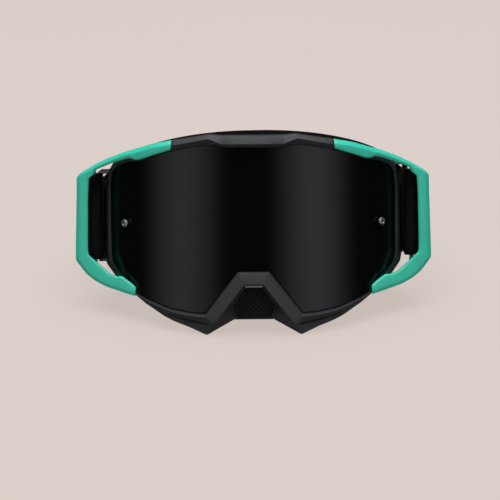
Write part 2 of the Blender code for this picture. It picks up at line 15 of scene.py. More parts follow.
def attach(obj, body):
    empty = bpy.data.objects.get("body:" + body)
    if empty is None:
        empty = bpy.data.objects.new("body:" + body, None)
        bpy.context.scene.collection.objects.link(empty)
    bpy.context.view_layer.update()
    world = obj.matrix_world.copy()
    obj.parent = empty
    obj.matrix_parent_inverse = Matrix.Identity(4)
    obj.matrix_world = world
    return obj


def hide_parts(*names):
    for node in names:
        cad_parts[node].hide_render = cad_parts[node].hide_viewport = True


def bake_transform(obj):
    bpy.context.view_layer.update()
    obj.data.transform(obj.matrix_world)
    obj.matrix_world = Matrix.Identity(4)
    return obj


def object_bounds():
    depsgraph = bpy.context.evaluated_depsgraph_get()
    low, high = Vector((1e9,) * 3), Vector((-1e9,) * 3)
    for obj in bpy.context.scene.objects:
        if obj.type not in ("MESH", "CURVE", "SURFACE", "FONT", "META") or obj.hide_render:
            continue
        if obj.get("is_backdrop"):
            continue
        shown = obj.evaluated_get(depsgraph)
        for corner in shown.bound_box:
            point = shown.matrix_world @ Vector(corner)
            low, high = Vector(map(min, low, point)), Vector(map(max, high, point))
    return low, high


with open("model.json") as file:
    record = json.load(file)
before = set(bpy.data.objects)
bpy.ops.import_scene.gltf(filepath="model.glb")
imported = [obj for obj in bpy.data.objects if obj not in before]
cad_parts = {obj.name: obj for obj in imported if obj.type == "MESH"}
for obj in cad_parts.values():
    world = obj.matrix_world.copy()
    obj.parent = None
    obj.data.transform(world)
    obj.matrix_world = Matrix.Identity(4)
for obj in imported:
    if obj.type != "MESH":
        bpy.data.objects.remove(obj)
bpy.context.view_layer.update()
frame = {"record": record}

MM = 0.001
STEP = 2.2  # the longest straight stretch along a curved outline

LEAN = math.radians(14.85)
LENS_RADIUS = 98.0
LENS_THICKNESS = 1.0
SEAT_DEPTH = 1.3
SEAT_GAP = 0.4
BEZEL = 3.5
WALL = 1.8
FACE_DEPTH, FACE_CURVE, HALF_WIDTH = 26.0, 26.0, 75.0
TAPER, TAPER_HEIGHT = 0.13, 45
LENS_EDGE = 0.2  # how far the shells stand in front of the lens where they meet it
SHELL_DEPTH = 12

POST_X, POST_Y, POST_RADIUS = 83.5, 42.6, 1.5
POST_BOTTOM, POST_TOP = -27.4, 26.4
STRAP_WIDTH, STRAP_THICKNESS = 45.0, 1.8
STRAP_CENTRE, STRAP_FALL, STRAP_SLOPE = 2.2, 0.03, 0.2079
STRAP_BEND_Y, STRAP_BEND = 92.0, 24.0
# In the photo the strap hangs lower on the left, and climbs more on the right.
STRAP_SAG, STRAP_RAISE, STRAP_LIFT = 0.035, 0.011, 0.014
SAG_IN, SAG_OUT_Y, SAG_OUT = 20, 115, 40
LIFT_Y, LIFT_IN = 90, 50
STRAP_WAVE, WAVE_IN = 0.12, 30  # how far the webbing waves sideways, and where it reaches that
ARC_Y, ARC_X, ARC_DEPTH = 76.0, 82.0, 114.0
LOOP_PLAY, LOOP_END, SIDE_END = 2.6, 60.0, 130.0
LOOP_BULGE = 0.8  # how far the fold bulges outwards
LOOP_GAP = 0.3
STITCH_HALF = 18.5
GRIP_HEIGHTS = {"lower": -14, "middle": 0, "upper": 14}
GRIP_HALF, GRIP_THICKNESS, GRIP_SHIFT = 1.1, 0.8, 1.35
SLIDER_Y, SLIDER_HALF = 92.0, 6.0
SLIDER_MIDDLE, SLIDER_RISE = 3.3, 1.75  # its wall's middle, out from the webbing and past its edge
SLIDER_WALL = (0.6, 0.55)  # half the wall's thickness, on its faces and at its ends
SLIDER_RIDGE = 3.85
TEAR_OFF_X = 66.0
# (radius, height) profiles over the lens's front face.
TEAR_OFF_POST = [
    (0, -3.2), (0.9, -3.2), (1.1, -3.0), (1.1, 0.95), (2.0, 1.0), (2.1, 1.15), (2.1, 1.85),
    (1.95, 2.2), (1.6, 2.38), (0.95, 2.4), (0.75, 2.2), (0.7, 1.5), (0, 1.45),
]
TEAR_OFF_WASHER = [
    (1.4, -1.3), (2.3, -1.3), (2.5, -1.45), (2.5, -1.95), (2.3, -2.1), (1.4, -2.1), (1.4, -1.3),
]

# Right halves of the outlines, as seen from the front, from the top centre clockwise.
FRAME_EDGE = [
    (0, 40.1), (17, 40.1), (21.1, 42.2), (41.7, 38.5), (50.7, 35.7), (58.2, 32.8),
    (65.3, 32.2), (72, 29.3), (74.3, 25.6), (75, 16), (75.2, -15.7), (74.1, -21.9),
    (70.1, -26.7), (61.6, -35.8), (54.3, -39.1), (43.1, -42.9), (31.4, -44.6),
    (25.1, -44.9), (8.3, -23), (0, -23),
]
LENS_TOP = FRAME_EDGE[:10]
LENS_BOTTOM = [
    (0, -23), (8.3, -23), (25.1, -44.9), (31.4, -44.6), (43.1, -42.9), (54.3, -39.1),
    (60.2, -36.4), (61, -32.4), (63.7, -30.7), (68.7, -27.2), (70.1, -26.4),
    (74.1, -21.9), (75, -15.7),
]
# Outer edge, ridge and lens edge of the upper shell.
UPPER_SHELL = [
    ((0, 46.2), (0, 42), (0, 40.5)),
    ((16.2, 46.2), (15.7, 42), (16.8, 40.5)),
    ((21.8, 46.8), (22.6, 44.7), (21.1, 42.6)),
    ((41.3, 43.5), (41.3, 41.2), (41.3, 39)),
]
# Lens edge, ridge, lower edge of the front facet, and outer edge of the lower shell,
# the last with its depth and how deep the vent groove is there.
LOWER_SHELL = [
    ((0, -23.4), (0, -24.4), (0, -29.2), (0, -31.2), 8.4, 0),
    ((8, -23.4), (7.5, -24.4), (5.1, -29.2), (5, -31.2), 8.4, 0),
    ((17, -35.1), (16.3, -35.8), (13.3, -39.8), (12.5, -41.9), 8.4, 0),
    ((22.2, -41.9), (21.5, -42.6), (18.7, -46.8), (9.5, -48.5), 8.4, 0),
    ((24.9, -45.4), (24.4, -46.2), (21.3, -50.2), (23.9, -56), 3.2, 0.1),
    ((28, -45.4), (27.8, -46.3), (25, -49.9), (24.9, -56), 3.2, 1.5),
    ((34, -44.9), (34, -45.8), (32.5, -48.5), (33, -52.4), 5, 1.5),
    ((43.2, -43.4), (43, -44.2), (43.6, -46.1), (41.6, -49.6), 7.5, 1.3),
    ((48.9, -41.4), (48.8, -42.2), (48.9, -44.1), (46.2, -47.6), 8.8, 0.1),
    ((54.8, -39.4), (55.1, -40), (55.5, -40.8), (55.9, -41.6), 15, 0),
    ((60.2, -37), (60.2, -37.4), (60.3, -37.9), (60.4, -38.4), 18.6, 0),
    ((62.2, -35.6), (62.2, -35.9), (62.3, -36.3), (62.4, -36.7), 20.6, 0),
]
# Outer edge and inner edge of an outrigger, from the brow down to the cheek.
OUTRIGGER = [
    ((41.6, 43.5), (42, 39)),
    ((50.6, 41.8), (50.6, 36.3)),
    ((58.5, 39.6), (59, 33.4)),
    ((64, 38), (61.5, 33.5)),
    ((66.5, 37.2), (63.5, 34.6)),
    ((74.6, 34), (72, 31.9)),
    ((82.9, 30), (81.7, 27.9)),
    ((91.1, 25.4), (83.2, 25.3)),
    ((92.8, 23.2), (86, 23)),
    ((92.9, 16), (86.6, 14)),
    ((94.1, -19.2), (87.2, -16.8)),
    ((93.7, -20.9), (84.7, -19.2)),
    ((88.4, -27.4), (79.4, -23.4)),
    ((83.4, -31), (75.4, -26.7)),
    ((77.6, -33.7), (71.5, -27.9)),
    ((70.5, -35.6), (68.8, -27.7)),
    ((67.1, -36.6), (63.7, -31.1)),
    ((61.7, -37.9), (61.5, -33)),
]
ARM_WALL, ARM_LIP, ARM_REAR = 1.6, 3.0, 46.0
ARM_AHEAD, ARM_START, ARM_SLOPE = 3, (41.5, 8), 0.52
# An outrigger's depth behind the lens's front: at its inner end, by how much it changes
# further out, and the x and the length of that change.
ARM_ABOVE = (10, -6, 52, 9)
ARM_BELOW = (1.2, 2.8, 65, 5)
ARM_SWEEP_X, ARM_SWEEP = 74.5, 5.5
NOSE_MESH = [(4.7, -31.6), (12, -41.9), (10.2, -47), (9.2, -48.6)]
NOSE_MESH_FRONT = 8.8
CELL_WIDE, CELL_HIGH, CELL_HOLE = 1.42, 1.2, 0.66
VENTS = ((9, 42), (31, 42.6), (47, -43), (34, -45))  # (x, z) of the frame's slots on one side
VENT_SIZE = (10, 6, 12)

CAMERA_AIM, CAMERA_DISTANCE, CAMERA_LENS = (-1.785, 0, -12), 1000, 141.2
CAMERA_ABOVE, CAMERA_ROLL = math.radians(6), math.radians(-0.5)

tilt = next(j for j in frame["record"]["behaviour"]["joints"] if j["name"] == "strap_tilt")
PLACE = (
    Matrix.Translation(tilt["pos_m"])
    @ Matrix.Rotation(-LEAN, 4, "X")
    @ Matrix.Translation(Vector((0, POST_Y, STRAP_CENTRE)) * -MM)
)


# Surfaces that the pieces follow.


def smooth_step(share):
    """From 0 to 1 with a smooth start and end."""
    share = min(1, max(0, share))
    return share * share * (3 - 2 * share)


def lens_y(x):
    """The front of the lens, a cylinder about an upright axis."""
    return LENS_RADIUS - math.sqrt(LENS_RADIUS**2 - x**2)


def seat_y(x):
    """The frame's seat, just behind the lens."""
    return LENS_RADIUS - math.sqrt((LENS_RADIUS - SEAT_DEPTH) ** 2 - x**2)


def face_y(x):
    """The rear of the frame, which curves round the face."""
    return FACE_DEPTH + FACE_CURVE * (x / HALF_WIDTH) ** 2


def arm_front(x):
    """The front of an outrigger, which leaves the lens's curve to stand out straight."""
    start_x, start_y = ARM_START
    return min(lens_y(x) - ARM_AHEAD, start_y + ARM_SLOPE * (x - start_x))


def arm_rear(x, z):
    """The rear edge of an outrigger, which sweeps back to the full depth of its bar."""
    depth, change, start, length = ARM_BELOW if z < 0 else ARM_ABOVE
    near = lens_y(x) + (depth + change * smooth_step((x - start) / length))
    return near + (ARM_REAR - near) * smooth_step((x - ARM_SWEEP_X) / ARM_SWEEP)


def strap_climb(y):
    """How far the strap has climbed, from a bend that eases into a steady slope."""
    share = (y - STRAP_BEND_Y) / STRAP_BEND + 0.5
    if share <= 0:
        return 0.0
    if share < 1:
        return STRAP_SLOPE * STRAP_BEND * share * share / 2
    return STRAP_SLOPE * (y - STRAP_BEND_Y)


def strap_place(x, y, z):
    """A point of the strap, from its height above the strap's centreline."""
    sag = smooth_step((y - LOOP_END) / SAG_IN) * (1 - smooth_step((y - SAG_OUT_Y) / SAG_OUT))
    lift = smooth_step((y - LIFT_Y) / LIFT_IN)
    uneven = STRAP_SAG * min(0, x) * sag + (STRAP_RAISE + STRAP_LIFT * lift) * max(0, x)
    height = STRAP_CENTRE - (y - POST_Y) * STRAP_FALL + strap_climb(y) + uneven
    return (x, y, height + z)


def strap_side_x(y):
    """The straight side of the strap, from its post to the start of the arc."""
    return POST_X + (ARC_X - POST_X) * (y - POST_Y) / (ARC_Y - POST_Y)


def strap_point(angle):
    """A point of the arc that the strap follows round the back."""
    return Vector((ARC_X * math.cos(angle), ARC_Y + ARC_DEPTH * math.sin(angle)))


# Mesh helpers.


def bezier(a, b, c, at):
    """A point of the curve from a to c that bends towards b."""
    return a * (1 - at) ** 2 + b * (2 * at * (1 - at)) + c * at**2


def filleted(section, radius=0.5, count=3):
    """A closed section with each corner rounded into count points."""
    points = [Vector(p) for p in section]
    result = []
    for i, corner in enumerate(points):
        ends = []
        for other in (points[i - 1], points[(i + 1) % len(points)]):
            away = other - corner
            ends.append(corner + away * min(0.42, radius / max(away.length, 1e-6)))
        result += [bezier(ends[0], corner, ends[1], k / (count - 1)) for k in range(count)]
    return result


def mixed(a, b, at):
    """Part of the way between two rows, whose entries are vectors or numbers."""
    return tuple(x + (y - x) * at for x, y in zip(a, b))


def curved(rows, share=0.3, closed=False, bends=4):
    """Rows along an outline with their corners rounded, and none further apart than STEP."""
    count = len(rows)
    corners = []
    for i, row in enumerate(rows):
        if not closed and i in (0, count - 1):
            corners.append(row)
            continue
        before = mixed(row, rows[i - 1], share)
        after = mixed(row, rows[(i + 1) % count], share)
        for k in range(bends + 1):
            at = k / bends
            corners.append(mixed(mixed(before, row, at), mixed(row, after, at), at))
    result = []
    ends = corners[1:] + ([corners[0]] if closed else [])
    for row, after in zip(corners, ends):
        longest = max((b - a).length for a, b in zip(row, after) if isinstance(a, Vector))
        pieces = max(1, math.ceil(longest / STEP))
        result += [mixed(row, after, j / pieces) for j in range(pieces)]
    return result if closed else result + [corners[-1]]


def as_vectors(rows):
    """Rows with each (x, z) pair as a vector."""
    return [tuple(Vector(e) if isinstance(e, tuple) else e for e in row) for row in rows]


def mirrored(half):
    """Rows for both sides, from the left end to the right end, from the right half's."""
    left = [
        tuple(Vector((-e.x, e.y)) if isinstance(e, Vector) else e for e in row)
        for row in reversed(half[1:])
    ]
    return left + half


def outline_rows(share=0.3):
    """(point, mitre) rows round the frame's outline, with rounded corners."""
    loop = [Vector(p) for p in FRAME_EDGE]
    loop += [Vector((-x, z)) for x, z in reversed(FRAME_EDGE) if x > 0]
    normals = []
    for i, point in enumerate(loop):
        along = (loop[(i + 1) % len(loop)] - point).normalized()
        normals.append(Vector((-along.y, along.x)))
    rows = []
    for i, normal in enumerate(normals):
        before = normals[i - 1]
        rows.append((loop[i], (before + normal) / (1 + before.dot(normal))))
    return curved(rows, share, closed=True)


def ring_point(row, offset, surface, depth):
    """A point outside the frame's outline by offset, and behind a surface by depth."""
    point, mitre = row
    x = point.x + mitre.x * offset
    z = point.y + mitre.y * offset
    y = surface(x) + depth
    behind = max(0, y - seat_y(x))
    return Vector((x, y, z + TAPER * behind * max(0, -z) / TAPER_HEIGHT))


def middle(section):
    """The mean of a section's points."""
    return sum((Vector(p) for p in section), Vector((0, 0, 0))) / len(section)


def loft_mesh(sections, ring=False):
    """A closed body through sections of equal point counts, with lengths in metres as UV."""
    mesh = bmesh.new()
    uv = mesh.loops.layers.uv.new("UVMap")
    rows = [[mesh.verts.new(Vector(p)) for p in section] for section in sections]
    along = [0.0]
    for i in range(1, len(sections) + ring):
        step = middle(sections[i % len(sections)]) - middle(sections[i - 1])
        along.append(along[-1] + step.length * MM)
    size = len(sections[0])
    round_it = [0.0]
    for j in range(size):
        side = Vector(sections[0][(j + 1) % size]) - Vector(sections[0][j])
        round_it.append(round_it[-1] + side.length * MM)
    pairs = [(i, (i + 1) % len(rows)) for i in range(len(rows) - (not ring))]
    for i, k in pairs:
        for j in range(size):
            n = (j + 1) % size
            face = mesh.faces.new((rows[i][j], rows[i][n], rows[k][n], rows[k][j]))
            places = ((i, j), (i, j + 1), (i + 1, j + 1), (i + 1, j))
            for corner, (a, b) in zip(face.loops, places):
                corner[uv].uv = (along[a], round_it[b])
    if not ring:
        for row in (rows[0], rows[-1]):
            face = mesh.faces.new(row)
            for corner in face.loops:
                corner[uv].uv = (corner.vert.co.x * MM, corner.vert.co.z * MM)
    return mesh


def eased_ends(sections, ease=0.5):
    """Adds a smaller section at each end, so that the end faces have rounded edges."""
    result = list(sections)
    for end, near, first in ((result[0], result[1], True), (result[-1], result[-2], False)):
        centre = middle(end)
        out = (centre - middle(near)).normalized() * ease
        size = sum((p - centre).length for p in end) / len(end)
        keep = 1 - ease / max(size, 1)
        small = [centre + (p - centre) * keep for p in end]
        mid = [centre + (p - centre) * (1 - (1 - keep) * 0.3) - out * 0.3 for p in end]
        start = [p - out for p in end]
        if first:
            result[:1] = [small, mid, start]
        else:
            result[-1:] = [start, mid, small]
    return result


def turned_mesh(profile, sides=48):
    """A closed body turned about z, from (radius, height) points in millimetres."""
    sections = []
    for k in range(sides):
        turn = 2 * math.pi * k / sides
        sections.append([(r * math.cos(turn), r * math.sin(turn), h) for r, h in profile])
    mesh = loft_mesh(sections, ring=True)
    bmesh.ops.remove_doubles(mesh, verts=mesh.verts, dist=1e-4)
    return mesh


def merged(meshes):
    """One mesh out of several."""
    whole = bmesh.new()
    for mesh in meshes:
        data = bpy.data.meshes.new("merge")
        mesh.to_mesh(data)
        mesh.free()
        whole.from_mesh(data)
        bpy.data.meshes.remove(data)
    return whole


def box_mesh(centre, size, radius, turn=None):
    """A block with rounded long edges; its y direction is the longest stretch."""
    sx, sy, sz = (s / 2 for s in size)
    corners = [(sx, sz), (sx, -sz), (-sx, -sz), (-sx, sz)]
    flat = filleted([(x, 0, z) for x, z in corners], radius, 4)
    sections = []
    for y, keep in ((-sy, 0.86), (-sy + radius * 0.6, 1), (sy - radius * 0.6, 1), (sy, 0.86)):
        sections.append([Vector((p.x * keep, y, p.z * keep)) for p in flat])
    mesh = loft_mesh(sections)
    place = Matrix.Translation(Vector(centre))
    bmesh.ops.transform(mesh, matrix=place @ (turn or Matrix()), verts=mesh.verts)
    return mesh


def piece(name, mesh, look, body, nodes=(), smooth=34, place=PLACE):
    """Puts a mesh in millimetres in the scene as a piece that rides on a body."""
    bmesh.ops.recalc_face_normals(mesh, faces=mesh.faces)
    bmesh.ops.transform(mesh, matrix=place @ Matrix.Scale(MM, 4), verts=mesh.verts)
    data = bpy.data.meshes.new(name)
    mesh.to_mesh(data)
    mesh.free()
    data.shade_smooth()
    data.set_sharp_from_angle(angle=math.radians(smooth))
    obj = bpy.data.objects.new(name, data)
    bpy.context.scene.collection.objects.link(obj)
    data.materials.append(LOOKS[look])
    if nodes:
        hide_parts(*nodes)
    if body:
        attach(obj, body)
    return obj


# Materials.


class Nodes:
    """A new material's node tree, with short calls for what the materials share."""

    def __init__(self, name, colour, roughness, metallic=0.0, **sockets):
        self.made = bpy.data.materials.new(name)
        self.made.use_nodes = True
        self.tree = self.made.node_tree
        self.shader = self.tree.nodes["Principled BSDF"]
        self.shader.inputs["Base Color"].default_value = (*colour, 1)
        self.shader.inputs["Roughness"].default_value = roughness
        self.shader.inputs["Metallic"].default_value = metallic
        for socket, value in sockets.items():
            self.shader.inputs[socket.replace("_", " ")].default_value = value

    def add(self, kind, **values):
        node = self.tree.nodes.new(kind)
        for key, value in values.items():
            name = key.replace("_", " ")
            if name in node.inputs:
                node.inputs[name].default_value = value
            else:
                setattr(node, key, value)
        return node

    def link(self, out, into):
        self.tree.links.new(out, into)

    def where(self, kind="Object"):
        return self.add("ShaderNodeTexCoord").outputs[kind]

    def noise(self, scale, detail=3.0, roughness=0.55, vector=None):
        node = self.add("ShaderNodeTexNoise", Scale=scale, Detail=detail, Roughness=roughness)
        self.link(vector or self.where(), node.inputs["Vector"])
        return node.outputs["Fac"]

    def remap(self, value, low, high, to_low, to_high):
        node = self.add("ShaderNodeMapRange")
        for name, number in (
            ("From Min", low), ("From Max", high), ("To Min", to_low), ("To Max", to_high)
        ):
            node.inputs[name].default_value = number
        self.link(value, node.inputs["Value"])
        return node.outputs["Result"]

    def bump(self, height, distance, strength=1.0, after=None):
        node = self.add("ShaderNodeBump", Strength=strength, Distance=distance)
        self.link(height, node.inputs["Height"])
        if after:
            self.link(after, node.inputs["Normal"])
        return node.outputs["Normal"]

    def colours(self, factor, stops):
        """Colours along a factor: (place, (r, g, b)) stops."""
        ramp = self.add("ShaderNodeValToRGB")
        while len(ramp.color_ramp.elements) < len(stops):
            ramp.color_ramp.elements.new(0.5)
        for element, (place, colour) in zip(ramp.color_ramp.elements, stops):
            element.position = place
            element.color = (*colour, 1)
        self.link(factor, ramp.inputs["Fac"])
        self.link(ramp.outputs["Color"], self.shader.inputs["Base Color"])

    def rough(self, factor, low, high):
        value = self.remap(factor, 0.3, 0.7, low, high)
        self.link(value, self.shader.inputs["Roughness"])

    def normal(self, out):
        self.link(out, self.shader.inputs["Normal"])


def plastic(name, dark, light, roughness, grain, depth, gloss=0.5):
    """Moulded plastic with a fine spark-eroded grain and faint larger unevenness."""
    n = Nodes(name, light, roughness, Specular_IOR_Level=gloss)
    patches = n.noise(45, 4)
    n.colours(patches, ((0.3, dark), (0.7, light)))
    n.rough(n.noise(700, 2), roughness - 0.06, roughness + 0.08)
    fine = n.bump(n.noise(grain, 2, 0.6), depth, 0.6)
    n.normal(n.bump(n.noise(30, 2), 0.00012, 0.35, fine))
    return n.made


def lens_look():
    n = Nodes("mirror_lens", (0.0012, 0.0013, 0.0014), 0.15, Specular_IOR_Level=0.25)
    smears = n.noise(28, 5, 0.65)
    n.rough(smears, 0.18, 0.21)
    return n.made


def woven(name, dark, light, period, depth):
    """Webbing: ribs across the band crossed by its warp, from the band's own lengths."""
    n = Nodes(name, light, 0.85, Specular_IOR_Level=0.12)
    split = n.add("ShaderNodeSeparateXYZ")
    n.link(n.where("UV"), split.inputs["Vector"])
    waves = []
    for axis, length in (("X", period), ("Y", period * 0.72)):
        scaled = n.add("ShaderNodeMath", operation="MULTIPLY")
        scaled.inputs[1].default_value = 2 * math.pi / length
        n.link(split.outputs[axis], scaled.inputs[0])
        wave = n.add("ShaderNodeMath", operation="SINE")
        n.link(scaled.outputs[0], wave.inputs[0])
        waves.append(wave.outputs[0])
    cross = n.add("ShaderNodeMath", operation="MULTIPLY")
    n.link(waves[0], cross.inputs[0])
    n.link(waves[1], cross.inputs[1])
    fibres = n.noise(2600, 2)
    total = n.add("ShaderNodeMath", operation="ADD")
    n.link(cross.outputs[0], total.inputs[0])
    n.link(fibres, total.inputs[1])
    height = n.remap(total.outputs[0], -1, 2, 0, 1)
    n.colours(height, ((0.15, dark), (0.85, light)))
    n.normal(n.bump(height, depth, 0.8))
    return n.made


def foam(name, dark, light, cell, depth, sheen=0.0):
    """Open-cell foam: small pits over soft unevenness."""
    n = Nodes(name, light, 0.95, Sheen_Weight=sheen, Sheen_Roughness=0.6)
    cells = n.add("ShaderNodeTexVoronoi", Scale=cell)
    n.link(n.where(), cells.inputs["Vector"])
    pits = n.remap(cells.outputs["Distance"], 0.0, 0.6, 0, 1)
    n.colours(pits, ((0.1, dark), (0.8, light)))
    pitted = n.bump(pits, depth, 0.7)
    n.normal(n.bump(n.noise(120, 3), 0.0003, 0.5, pitted))
    return n.made


def fleece_look():
    n = Nodes("fleece", (0.012, 0.012, 0.012), 1.0, Sheen_Weight=0.35, Sheen_Roughness=0.45)
    tufts = n.noise(900, 4, 0.75)
    n.colours(tufts, ((0.35, (0.006, 0.006, 0.006)), (0.7, (0.02, 0.02, 0.02))))
    n.normal(n.bump(tufts, 0.0003, 0.9))
    return n.made


def metal_look():
    n = Nodes("post_metal", (0.3, 0.3, 0.3), 0.45, 1.0)
    marks = n.noise(1500, 2)
    n.rough(marks, 0.38, 0.52)
    n.colours(marks, ((0.3, (0.34, 0.34, 0.34)), (0.7, (0.5, 0.5, 0.5))))
    return n.made


LOOKS = {
    "mint_plastic": plastic(
        "mint_plastic", (0.022, 0.495, 0.34), (0.029, 0.525, 0.37), 0.42, 2600, 3e-5
    ),
    "black_plastic": plastic(
        "black_plastic", (0.028, 0.029, 0.031), (0.036, 0.037, 0.0395), 0.5, 2200, 4e-5, 0.18
    ),
    "frame_rubber": plastic(
        "frame_rubber", (0.045, 0.045, 0.045), (0.065, 0.065, 0.065), 0.33, 1600, 3e-5
    ),
    "mirror_lens": lens_look(),
    "post_metal": metal_look(),
    "nose_mesh": plastic(
        "nose_mesh", (0.007, 0.0075, 0.0075), (0.011, 0.0115, 0.0115), 0.6, 1800, 4e-5, 0.3
    ),
    "foam_dark": foam("foam_dark", (0.008, 0.008, 0.008), (0.03, 0.03, 0.031), 1100, 0.0002),
    "foam_grey": foam("foam_grey", (0.03, 0.03, 0.032), (0.085, 0.085, 0.09), 1000, 0.0002),
    "fleece": fleece_look(),
    "webbing": woven("webbing", (0.0012, 0.0012, 0.0012), (0.0062, 0.0065, 0.0062), 0.0011, 0.00012),
    "silicone": plastic("silicone", (0.03, 0.03, 0.031), (0.045, 0.045, 0.046), 0.3, 900, 2e-5),
    "thread": woven("thread", (0.01, 0.01, 0.01), (0.04, 0.04, 0.04), 0.0005, 0.0001),
    "buckle_plastic": plastic(
        "buckle_plastic", (0.011, 0.011, 0.012), (0.017, 0.017, 0.018), 0.4, 2000, 3e-5
    ),
}


# The frame and what is fixed to it.


def upper_shell():
    """The brow piece, folded along a ridge, over the top of the lens."""
    sections = []
    for outer, ridge, inner in curved(mirrored(as_vectors(UPPER_SHELL)), 0.05, bends=2):
        inward = (inner - outer).normalized() * WALL
        wall = outer + inward
        sections.append(filleted([
            (outer.x, lens_y(outer.x) - 1.2, outer.y),
            (ridge.x, lens_y(ridge.x) - BEZEL, ridge.y),
            (inner.x, lens_y(inner.x) - LENS_EDGE, inner.y),
            (inner.x, seat_y(inner.x) - SEAT_GAP, inner.y),
            (wall.x, seat_y(wall.x) - SEAT_GAP, wall.y),
            (wall.x, lens_y(wall.x) + SHELL_DEPTH, wall.y),
            (outer.x, lens_y(outer.x) + SHELL_DEPTH, outer.y),
        ], 0.25))
    mesh = loft_mesh(eased_ends(sections, 0.3))
    piece("upper_shell_skin", mesh, "black_plastic", "frame", ["upper_shell"], smooth=18)


def lower_rear(x, front):
    """How far back the lower shell reaches, less where an outrigger runs over it."""
    if abs(x) > 50:
        return front + 1.0
    if abs(x) > 49:
        return max(front + 3.5, lens_y(x) + 1.45)
    return max(front + 3.5, lens_y(x) + 9)


def lower_shell():
    """The nose guard and its wings, with a groove along each side for the vents."""
    sections = []
    rows = curved(mirrored(as_vectors(LOWER_SHELL)), 0.07, bends=2)
    for inner, ridge, edge, outer, outer_y, groove in rows:
        drop = outer - edge
        down = drop.normalized()
        lip = edge + down * min(0.9, drop.length * 0.45)
        nose = 1 - smooth_step((abs(edge.x) - 19) / 6)
        edge_y = lens_y(edge.x) - 1.6 + min(1.4, 6.0 / max(1.0, (outer - inner).length))
        edge_y += (lens_y(edge.x) - BEZEL - edge_y) * nose
        ridge_y = lens_y(ridge.x) - BEZEL + 1.7 * nose
        front = max(outer_y, edge_y + 0.2)
        rear = lower_rear(outer.x, front)
        inside = outer.lerp(edge, 0.45)
        sections.append(filleted([
            (inner.x, lens_y(inner.x) - LENS_EDGE, inner.y),
            (ridge.x, ridge_y, ridge.y),
            (edge.x, edge_y, edge.y),
            (edge.x + down.x * 0.3, edge_y + groove, edge.y + down.y * 0.3),
            (lip.x, edge_y + 0.25 + groove * 0.25, lip.y),
            (outer.x, front, outer.y),
            (outer.x, rear, outer.y + min(2.6, (rear - front) * 0.3)),
            (inside.x, rear, inside.y),
            (inner.x, seat_y(inner.x) - SEAT_GAP, inner.y),
        ], 0.35))
    mesh = loft_mesh(eased_ends(sections, 0.3))
    piece("lower_shell_skin", mesh, "black_plastic", "frame", ["lower_shell"], smooth=18)


def flare(x, z):
    """How far the frame's flange stands out: most at the sides, and half as far at the top."""
    side = 2.2 + 2.2 * smooth_step((abs(x) - 62) / 8)
    return side * (1 - 0.5 * smooth_step((z - 17) / 9)) + 0.4 * smooth_step(-z / 12)


def inner_frame():
    """The flexible frame: a channel round the lens, with slots for air."""
    sections = []
    for row in outline_rows(0.14):
        out = flare(*row[0])
        profile = [
            (-4, seat_y, 0), (1.1, seat_y, 0), (out, seat_y, 7), (out, face_y, 0),
            (-6, face_y, 0), (-6, face_y, -WALL), (out - WALL, face_y, -WALL),
            (out - WALL, seat_y, 7.4), (-0.6, seat_y, WALL), (-4, seat_y, WALL),
        ]
        sections.append(filleted([ring_point(row, *entry) for entry in profile], 0.6))
    mesh = loft_mesh(sections, ring=True)
    obj = piece("inner_frame_skin", mesh, "frame_rubber", None, ["inner_frame"])
    cutters = []
    for x, z in VENTS:
        for side in (-1, 1):
            centre = (side * x, lens_y(x) + 15, z)
            cutters.append(box_mesh(centre, VENT_SIZE, 1.2))
    carve(obj, cutters)
    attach(obj, "frame")


def carve(obj, cutters):
    """Cuts slots out of a piece, and leaves nothing behind."""
    mesh = merged(cutters)
    bmesh.ops.recalc_face_normals(mesh, faces=mesh.faces)
    bmesh.ops.transform(mesh, matrix=PLACE @ Matrix.Scale(MM, 4), verts=mesh.verts)
    data = bpy.data.meshes.new("carver")
    mesh.to_mesh(data)
    mesh.free()
    carver = bpy.data.objects.new("carver", data)
    bpy.context.scene.collection.objects.link(carver)
    modifier = obj.modifiers.new("slots", "BOOLEAN")
    modifier.operation = "DIFFERENCE"
    modifier.solver = "EXACT"
    modifier.object = carver
    graph = bpy.context.evaluated_depsgraph_get()
    carved = bpy.data.meshes.new_from_object(obj.evaluated_get(graph))
    obj.modifiers.clear()
    obj.data = carved
    carved.set_sharp_from_angle(angle=math.radians(34))
    bpy.data.objects.remove(carver)


def outrigger(side, word):
    """A bar that stands out beside the frame, on an arm from the brow and one from the cheek."""
    sections = []
    for outer, inner in curved(as_vectors(OUTRIGGER), 0.2):
        across = (outer - inner).normalized()
        wide = (outer - inner).length
        ridge = outer - across * min(1.9, wide * 0.42)
        edge = inner + across * min(0.9, wide * 0.25)
        wall = outer - across * min(ARM_WALL, wide - 0.3)
        lip = min(seat_y(inner.x) - SEAT_GAP, arm_front(inner.x) + ARM_LIP)
        rear = max(arm_rear(*outer), lip + 0.2)
        points = [
            (outer, arm_front(outer.x) + 1.9),
            (ridge, arm_front(ridge.x)),
            (edge, arm_front(edge.x) + 0.25),
            (inner, arm_front(inner.x) + 1.3),
            (inner, lip),
            (wall, min(seat_y(wall.x) - SEAT_GAP, arm_front(wall.x) + ARM_LIP)),
            (wall, rear),
            (outer, rear),
        ]
        sections.append(filleted([(side * p.x, y, p.y) for p, y in points], 0.25))
    mesh = loft_mesh(eased_ends(sections, 0.25))
    piece(f"outrigger_{word}_skin", mesh, "mint_plastic", "frame", [f"outrigger_{word}"], smooth=16)


